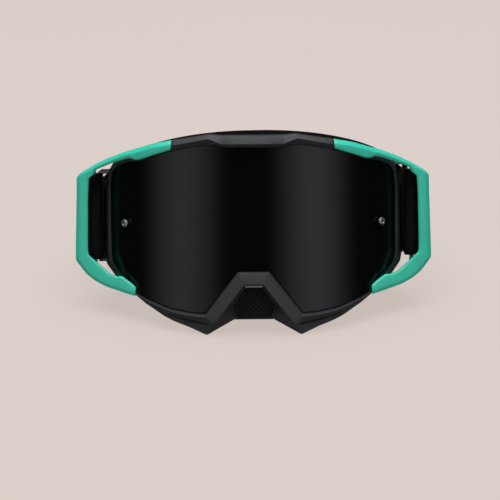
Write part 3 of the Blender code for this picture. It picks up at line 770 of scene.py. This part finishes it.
def strap_post(side, word):
    """The pin that a loop is folded round, a little thinner and further out than in the CAD."""
    radius, out, ease = 1.15, 0.5, 0.4
    profile = [
        (0.0, POST_BOTTOM), (radius * 0.8, POST_BOTTOM), (radius, POST_BOTTOM + ease),
        (radius, POST_TOP - ease), (radius * 0.8, POST_TOP), (0.0, POST_TOP),
    ]
    place = PLACE @ Matrix.Translation(Vector((side * (POST_X + out), POST_Y, 0)) * MM)
    mesh = turned_mesh(profile, 32)
    piece(f"strap_post_{word}_bar", mesh, "mint_plastic", "frame", [f"strap_post_{word}"], place=place)


def nose_mesh():
    """The nose vent: a lattice in a rim, a thin foam sheet behind it and a lip above it."""
    half = [Vector(p) for p in NOSE_MESH]
    outline = half + [Vector((-p.x, p.y)) for p in reversed(half)]
    centre = sum(outline, Vector((0, 0))) / len(outline)
    nose_lattice(outline, centre)
    nose_rim(outline, centre)
    nose_foam(outline, centre)
    nose_lip()


def nose_lattice(outline, centre):
    """Diamond cells, cut off just inside the outline."""
    front, rear = NOSE_MESH_FRONT + 0.35, NOSE_MESH_FRONT + 1.1
    rims = ((1, front), (CELL_HOLE, front), (CELL_HOLE * 0.85, rear), (1, rear))
    corners = [(CELL_WIDE, 0), (0, CELL_HIGH), (-CELL_WIDE, 0), (0, -CELL_HIGH)]
    mesh = bmesh.new()
    for row in range(-10, 11):
        for column in range(-6, 7):
            x = (column * 2 + row % 2) * CELL_WIDE
            z = centre.y + row * CELL_HIGH
            rings = [
                [mesh.verts.new((x + a * scale, y, z + b * scale)) for a, b in corners]
                for scale, y in rims
            ]
            for a, b in zip(rings, rings[1:]):
                for i in range(4):
                    j = (i + 1) % 4
                    mesh.faces.new((a[i], a[j], b[j], b[i]))
    bmesh.ops.remove_doubles(mesh, verts=mesh.verts, dist=1e-3)
    for i, point in enumerate(outline):
        along = outline[(i + 1) % len(outline)] - point
        out = Vector((-along.y, along.x)).normalized()
        inset = point - out * 0.5
        geometry = mesh.verts[:] + mesh.edges[:] + mesh.faces[:]
        bmesh.ops.bisect_plane(
            mesh, geom=geometry, plane_co=(inset.x, 0, inset.y),
            plane_no=(out.x, 0, out.y), clear_outer=True,
        )
        bmesh.ops.holes_fill(mesh, edges=[e for e in mesh.edges if e.is_boundary], sides=12)
    piece("nose_vent_lattice", mesh, "nose_mesh", "frame")


def nose_rim(outline, centre):
    thick, inwards, outwards = 1.6, 0.9, 0.5
    rim = []
    rows = curved([(p, (p - centre).normalized()) for p in outline], 0.04, closed=True, bends=2)
    for point, out in rows:
        away = Vector((out.x, 0, out.y))
        front = Vector((point.x, NOSE_MESH_FRONT, point.y))
        rear = front + Vector((0, thick, 0))
        rim.append(filleted([
            front - away * inwards, front + away * outwards,
            rear + away * outwards, rear - away * inwards,
        ], 0.3))
    mesh = loft_mesh(rim, ring=True)
    piece("nose_vent_rim", mesh, "black_plastic", "frame", ["nose_vent_mesh"])


def nose_foam(outline, centre):
    sheet = [centre + (p - centre) * 1.08 for p in outline]
    back = [
        [(p.x, y, p.y) for p in sheet] for y in (NOSE_MESH_FRONT + 1.15, NOSE_MESH_FRONT + 1.55)
    ]
    piece("nose_vent_foam", loft_mesh(back), "foam_dark", "frame")


def nose_lip():
    """A small wedge at the middle of the nose arch."""
    profile = [(-4.1, -30.6), (-3.2, -30.0), (1, -30.0), (1, -30.85), (-3.9, -30.85)]
    lip = [filleted([(x, y, z) for y, z in profile], 0.15) for x in (-4.3, -4, 4, 4.3)]
    piece("nose_vent_lip", loft_mesh(lip), "silicone", "frame")


def foam_ring(name, node, look, front, rear, outer, crown, seed):
    """A foam layer whose free edges are rounded and slightly uneven."""
    thick = rear - front
    steps = 10
    sections = []
    rows = outline_rows()
    for k, row in enumerate(rows):
        turn = 2 * math.pi * k / len(rows)
        drift = noise.noise(Vector((math.cos(turn) * 3, math.sin(turn) * 3, seed)))
        out, inner = outer + 0.25 * drift, -6.3 + 0.3 * drift
        profile = [(inner, front), (out, front)]
        for j in range(steps + 1):
            at = j / steps
            offset = out + (inner - out) * at
            side = (2 * at - 1) ** 4
            height = rear - thick * crown * side + 0.15 * drift * (1 - side)
            profile.append((offset, height))
        sections.append([ring_point(row, offset, face_y, depth) for offset, depth in profile])
    obj = piece(name, loft_mesh(sections, ring=True), look, "frame", [node], smooth=60)


def foams():
    foam_ring("face_foam_base", "foam_base_layer", "foam_dark", 0.2, 6.4, 2.0, 0.12, 1.0)
    foam_ring("face_foam_middle", "foam_middle_layer", "foam_grey", 6.5, 12.9, 1.9, 0.16, 2.0)
    foam_ring("face_foam_fleece", "foam_fleece_layer", "fleece", 13.0, 16.0, 1.5, 0.55, 3.0)


def vent_foam(node, low, high, top):
    """A foam strip inside the frame, from one x to another, behind its slots."""
    rows = [r for r in outline_rows() if low <= r[0].x <= high and (r[0].y > 0) == top]
    rows.sort(key=lambda row: row[0].x)
    sections = []
    for row in rows:
        points = [
            ring_point(row, offset, surface, depth)
            for offset, surface, depth in (
                (-2.4, seat_y, WALL + 6), (0.1, seat_y, WALL + 6),
                (0.1, face_y, -WALL - 0.5), (-2.4, face_y, -WALL - 0.5),
            )
        ]
        sections.append(filleted(points, 0.5))
    obj = piece(f"{node}_strip", loft_mesh(eased_ends(sections, 0.4)), "foam_dark", "frame", [node])


# The lens and its tear-off posts.


def height_at(points, x):
    """The height of an outline at x."""
    x = abs(x)
    for a, b in zip(points, points[1:]):
        if a.x <= x <= b.x:
            return a.y + (b.y - a.y) * (x - a.x) / max(b.x - a.x, 1e-6)
    return points[-1].y


def lens():
    """The lens, in upright slices from one side to the other."""
    top = [row[0] for row in curved([(Vector(p),) for p in LENS_TOP], 0.3)]
    bottom = [row[0] for row in curved([(Vector(p),) for p in LENS_BOTTOM], 0.07)]
    every_mm = {float(k) for k in range(int(HALF_WIDTH) + 1)}
    edges = sorted({round(p.x, 3) for p in top + bottom} | every_mm)
    columns = []
    for x in edges:
        if x <= HALF_WIDTH and (not columns or x - columns[-1] > 0.15):
            columns.append(x)
    columns = [-x for x in reversed(columns[1:])] + columns
    sections = []
    ease = 0.3
    for x in columns:
        low, high = height_at(bottom, x), height_at(top, x)
        points = []
        for depth, drop in (
            (0, ease), (ease, 0), (LENS_THICKNESS - ease, 0), (LENS_THICKNESS, ease)
        ):
            share = (LENS_RADIUS - depth) / LENS_RADIUS
            y = LENS_RADIUS - (LENS_RADIUS - lens_y(x)) * share
            points.append((x * share, y, drop))
        sections.append(
            [(px, y, high - drop) for px, y, drop in points]
            + [(px, y, low + drop) for px, y, drop in reversed(points)]
        )
    piece("lens_shield", loft_mesh(sections), "mirror_lens", "lens", ["lens"], smooth=28)


def tear_off(side, word):
    """A post through the lens for tear-off films, and the washer that holds it."""
    turn = math.asin(TEAR_OFF_X / LENS_RADIUS)
    place = (
        PLACE
        @ Matrix.Translation(Vector((side * TEAR_OFF_X, lens_y(TEAR_OFF_X), 0)) * MM)
        @ Matrix.Rotation(side * turn, 4, "Z")
        @ Matrix.Rotation(math.pi / 2, 4, "X")
    )
    piece(f"tear_off_post_{word}_pin", turned_mesh(TEAR_OFF_POST, 40), "post_metal", "lens",
          [f"tear_off_post_{word}"], place=place)
    piece(f"tear_off_washer_{word}_ring", turned_mesh(TEAR_OFF_WASHER, 40), "silicone", "lens",
          [f"tear_off_washer_{word}"], place=place)


# The strap.


def band_section(point, inward, thickness, low, high, wave=0.0, across=14, shift=0.0):
    """A flat band's section: two faces with rounded selvedges, bowed sideways by wave."""
    centre = point + inward * shift
    front, back = [], []
    for k in range(across + 1):
        at = k / across
        z = low + (high - low) * at
        edge = min(at, 1 - at) * (high - low)
        half = thickness / 2 * min(1, 0.45 + 0.55 * math.sqrt(min(1, edge / 0.9)))
        bow = wave * math.sin(math.pi * at)
        front.append((centre + inward * (bow - half), z))
        back.append((centre + inward * (bow + half), z))
    return [Vector(strap_place(p.x, p.y, z)) for p, z in front + back[::-1]]


def path_frames(path):
    """(point, inward direction) along a path of (x, y) points."""
    frames = []
    for i, point in enumerate(path):
        along = (path[min(len(path) - 1, i + 1)] - path[max(0, i - 1)]).normalized()
        frames.append((point, Vector((-along.y, along.x))))
    return frames


def strap_half(count=60):
    """The right half of the strap's centreline, from the loop's end to the rear centre."""
    overlap = 1.5  # how far the webbing runs in between the loop's layers
    points = []
    for k in range(0, count + 1, count // 8):
        y = LOOP_END - overlap + (ARC_Y - LOOP_END + overlap) * k / count
        points.append(Vector((strap_side_x(y), y)))
    arc = [strap_point(math.pi / 2 * k / count) for k in range(1, count + 1)]
    return points + arc


def strap():
    """The webbing in one band, from one loop round the back to the other."""
    half = strap_half()
    path = half + [Vector((-p.x, p.y)) for p in reversed(half[:-1])]
    sections = []
    for k, (point, inward) in enumerate(path_frames(path)):
        grown = min(1, max(0, (point.y - LOOP_END) / WAVE_IN))
        wave = STRAP_WAVE * math.sin(k * 0.21) * grown
        sections.append(band_section(
            point, inward, STRAP_THICKNESS, -STRAP_WIDTH / 2, STRAP_WIDTH / 2, wave
        ))
    obj = piece("strap_webbing", loft_mesh(sections), "webbing", None,
                ["strap_side_left", "strap_side_right", "strap_rear"], smooth=50)
    stretch(obj)


def stretch(obj):
    """Bakes the webbing's placement into its mesh; nothing here stretches it as the rear slides."""
    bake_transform(obj)


def grip_strips():
    """Silicone beads in a shallow wave, inside the rear of the strap."""
    count = 90
    start = math.asin((SIDE_END + 8 - ARC_Y) / ARC_DEPTH)
    path = [strap_point(start + (math.pi - 2 * start) * k / count) for k in range(count + 1)]
    for word, height in GRIP_HEIGHTS.items():
        sections = []
        for k, (point, inward) in enumerate(path_frames(path)):
            z = height + 0.5 * math.sin(k * 0.42)
            sections.append(band_section(
                point, inward, GRIP_THICKNESS, z - GRIP_HALF, z + GRIP_HALF, 0, 6, GRIP_SHIFT
            ))
        piece(f"strap_grip_{word}_bead", loft_mesh(eased_ends(sections, 0.4)), "silicone",
              "strap_rear", [f"strap_grip_{word}"], smooth=60)


def loop_side():
    """The two ends of the loop's outer face, beside the post and where the fold ends."""
    start = Vector((POST_X + POST_RADIUS + LOOP_GAP + STRAP_THICKNESS, POST_Y + 4))
    return start, Vector((strap_side_x(LOOP_END) + STRAP_THICKNESS, LOOP_END))


def strap_loop(side, word):
    """The webbing folded round its post, its two layers sewn together behind it."""
    radius = POST_RADIUS + LOOP_GAP + STRAP_THICKNESS / 2
    start, end = loop_side()
    half = STRAP_THICKNESS / 2
    sewn, beside = Vector((end.x - half, LOOP_END)), Vector((start.x - half, start.y))
    tail = Vector((end.x - 3 * half - 0.05, LOOP_END - 0.3))
    back = Vector((POST_X - radius, start.y))
    steps, bends = 6, 16
    path = [sewn]
    for k in range(1, steps + 1):
        path.append(sewn.lerp(beside, k / steps) + Vector((LOOP_BULGE * (k / steps) ** 3, 0)))
    for k in range(bends + 1):
        turn = math.pi * k / bends
        bulge = LOOP_BULGE * max(0, math.cos(turn))
        x = POST_X + radius * math.cos(turn) + bulge
        path.append(Vector((x, POST_Y - LOOP_PLAY - radius * math.sin(turn))))
    path += [back] + [back.lerp(tail, k / steps) for k in range(1, steps + 1)]
    path = [Vector((side * p.x, p.y)) for p in path]
    sections = []
    for point, inward in path_frames(path):
        sections.append(band_section(
            point, inward, STRAP_THICKNESS * 0.94, -STRAP_WIDTH / 2, STRAP_WIDTH / 2
        ))
    piece(f"strap_loop_{word}_fold", loft_mesh(eased_ends(sections, 0.3)), "webbing",
          "strap_base", [f"strap_loop_{word}"], smooth=50)


def thread_run(points, radius=0.22):
    """A round thread along points, bent over at the ends into the cloth."""
    frames = []
    for i, point in enumerate(points):
        along = (points[min(len(points) - 1, i + 1)] - points[max(0, i - 1)]).normalized()
        side = along.cross(Vector((1, 0.2, 0.1))).normalized()
        up = along.cross(side)
        turns = [t * math.pi / 3 for t in range(6)]
        frames.append([
            point + side * (radius * math.cos(turn)) + up * (radius * math.sin(turn))
            for turn in turns
        ])
    return loft_mesh(frames)


def strap_stitch(side, word):
    """A zigzag bar tack over the end of the fold, with a straight row on each side."""
    start, end = loop_side()
    out = Vector((end.y - start.y, start.x - end.x)).normalized()
    runs = []
    for share in (0.66, 0.86):
        base = start.lerp(end, share) + out * 0.1
        stitches = 15
        for k in range(stitches):
            z = -STITCH_HALF + 2 * STITCH_HALF * k / (stitches - 1)
            points = []
            for at in (0, 0.25, 0.5, 0.75, 1):
                lift = 0.28 * math.sin(math.pi * at)
                p = base + out * lift
                points.append(Vector(strap_place(side * p.x, p.y, z - 1.0 + 2.0 * at)))
            runs.append(thread_run(points))
    rows = 26
    for k in range(rows):
        z = -STITCH_HALF + 2 * STITCH_HALF * k / rows
        a = start.lerp(end, 0.68) + out * 0.1
        b = start.lerp(end, 0.84) + out * 0.1
        if k % 2:
            a, b = b, a
        points = []
        for at in (0, 0.25, 0.5, 0.75, 1):
            p = a.lerp(b, at) + out * (0.24 * math.sin(math.pi * at))
            points.append(Vector(strap_place(side * p.x, p.y, z + 1.42 * at)))
        runs.append(thread_run(points))
    piece(f"strap_stitch_{word}_tack", merged(runs), "thread", "strap_base",
          [f"strap_stitch_{word}"], smooth=60)


def strap_slider(side, word):
    """A rounded frame round the webbing, with grip ridges on its outer face."""
    turn = math.asin((SLIDER_Y - ARC_Y) / ARC_DEPTH)
    along = Vector((-ARC_X * math.sin(turn), ARC_DEPTH * math.cos(turn))).normalized()
    out = Vector((along.y, -along.x))

    def place(depth, travel, height):
        point = strap_point(turn) + out * depth + along * travel
        return Vector(strap_place(side * point.x, point.y, height))

    half = STRAP_WIDTH / 2 + SLIDER_RISE
    wall, end_wall = SLIDER_WALL
    rows = [
        (Vector((sx * SLIDER_MIDDLE, sz * half)), Vector((sx * wall, sz * end_wall)))
        for sx, sz in ((1, 1), (1, -1), (-1, -1), (-1, 1))
    ]
    sections = []
    for centre, reach in curved(rows, 0.045, closed=True, bends=4):
        outer, inner = centre + reach, centre - reach
        corners = ((outer, -1), (outer, 1), (inner, 1), (inner, -1))
        section = [place(p.x, end * SLIDER_HALF, p.y) for p, end in corners]
        sections.append(filleted(section, 0.45, 4))
    meshes = [loft_mesh(sections, ring=True)]
    for travel in (-3.6, 0, 3.6):
        ridge = []
        for k in range(13):
            tall = 0.35 * math.sin(math.pi * k / 12) ** 0.4 if 0 < k < 12 else 0.02
            ridge.append([
                place(SLIDER_RIDGE + tall * math.sin(math.pi * t / 4), travel - 0.6 + 0.3 * t, 3 * k - 18)
                for t in range(5)
            ])
        meshes.append(loft_mesh(ridge))
    piece(f"strap_slider_{word}_buckle", merged(meshes), "buckle_plastic", f"slider_{word}",
          [f"strap_slider_{word}"], smooth=40)


# The floor, the lights and the camera.


def floor():
    """A plain pale floor that glows a little, so that it stays as even as the photo's ground."""
    data = bpy.data.meshes.new("floor")
    reach = 30  # metres
    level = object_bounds()[0][2]
    data.from_pydata(
        [(x * reach, y * reach, level) for x, y in ((-1, -1), (1, -1), (1, 1), (-1, 1))],
        [], [(0, 1, 2, 3)],
    )
    obj = bpy.data.objects.new("floor", data)
    bpy.context.scene.collection.objects.link(obj)
    n = Nodes("floor_paint", (0.1, 0.087, 0.082), 0.9, Specular_IOR_Level=0.1)
    n.colours(n.noise(3, 2), ((0.3, (0.099, 0.086, 0.081)), (0.7, (0.101, 0.088, 0.083))))
    n.shader.inputs["Emission Color"].default_value = (0.701, 0.61, 0.571, 1)
    n.shader.inputs["Emission Strength"].default_value = 0.81
    data.materials.append(n.made)
    obj.visible_glossy = False
    obj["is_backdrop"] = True


def softbox(name, place, aim, size, power, fade=False, colour=(1, 1, 1)):
    """An area light; with fade it is brightest along its middle."""
    light = bpy.data.lights.new(name, "AREA")
    light.shape = "RECTANGLE"
    light.size, light.size_y = size
    light.energy = power
    light.color = colour
    obj = bpy.data.objects.new(name, light)
    bpy.context.scene.collection.objects.link(obj)
    obj.location = place
    obj.rotation_euler = (Vector(aim) - Vector(place)).to_track_quat("-Z", "Y").to_euler()
    if fade:
        light.use_nodes = True
        tree = light.node_tree
        where = tree.nodes.new("ShaderNodeNewGeometry")
        split = tree.nodes.new("ShaderNodeSeparateXYZ")
        ramp = tree.nodes.new("ShaderNodeValToRGB")
        for element, at in zip(ramp.color_ramp.elements, (0, 1)):
            element.position = at
            element.color = (0, 0, 0, 1)
        middle_stop = ramp.color_ramp.elements.new(0.5)
        middle_stop.color = (1, 1, 1, 1)
        ramp.color_ramp.interpolation = "EASE"
        tree.links.new(where.outputs["Parametric"], split.inputs["Vector"])
        tree.links.new(split.outputs["X"], ramp.inputs["Fac"])
        tree.links.new(ramp.outputs["Color"], tree.nodes["Emission"].inputs["Strength"])


def studio():
    """A large soft light overhead and one on each side, whose reflections the lens shows."""
    world = bpy.data.worlds.new("studio")
    world.use_nodes = True
    background = world.node_tree.nodes["Background"]
    background.inputs["Color"].default_value = (0.9, 0.95, 1, 1)
    background.inputs["Strength"].default_value = 0.02
    bpy.context.scene.world = world
    aim = (0, -0.05, 0.05)
    reach = 1.6
    for word, degrees, power, colour in (
        ("left", -44, 8.8, (0.94, 1, 0.975)), ("right", 38, 10.4, (0.93, 0.96, 1)),
    ):
        turn = math.radians(degrees)
        place = (reach * math.sin(turn), -reach * math.cos(turn), 0.28)
        softbox(f"side_{word}", place, aim, (1.8, 1.3), power, fade=True, colour=colour)
    softbox("top", (0, 0.1, 1.9), (0, 0.05, 0), (2.4, 2.0), 75, colour=(0.96, 0.98, 1))
    bpy.context.scene.view_settings.view_transform = "Standard"


def camera():
    """A long lens, a little above the goggles' own level."""
    data = bpy.data.cameras.new("camera")
    obj = bpy.data.objects.new("camera", data)
    bpy.context.scene.collection.objects.link(obj)
    data.sensor_width = 36
    data.lens = CAMERA_LENS
    aim = Vector(CAMERA_AIM)
    towards = Vector((0, -math.cos(CAMERA_ABOVE), math.sin(CAMERA_ABOVE)))
    place = aim + towards * CAMERA_DISTANCE
    at = PLACE @ (place * MM)
    target = PLACE @ (aim * MM)
    obj.location = at
    roll = Quaternion((0, 0, 1), CAMERA_ROLL)
    obj.rotation_euler = ((target - at).to_track_quat("-Z", "Y") @ roll).to_euler()
    bpy.context.scene.camera = obj


def main():
    upper_shell()
    lower_shell()
    inner_frame()
    nose_mesh()
    foams()
    vent_foam("vent_foam_top", -50, 50, True)
    vent_foam("vent_foam_bottom_left", -56, -28, False)
    vent_foam("vent_foam_bottom_right", 28, 56, False)
    lens()
    for side, word in ((-1, "left"), (1, "right")):
        outrigger(side, word)
        strap_post(side, word)
        tear_off(side, word)
        strap_loop(side, word)
        strap_stitch(side, word)
        strap_slider(side, word)
    strap()
    grip_strips()
    floor()
    studio()
    camera()


main()
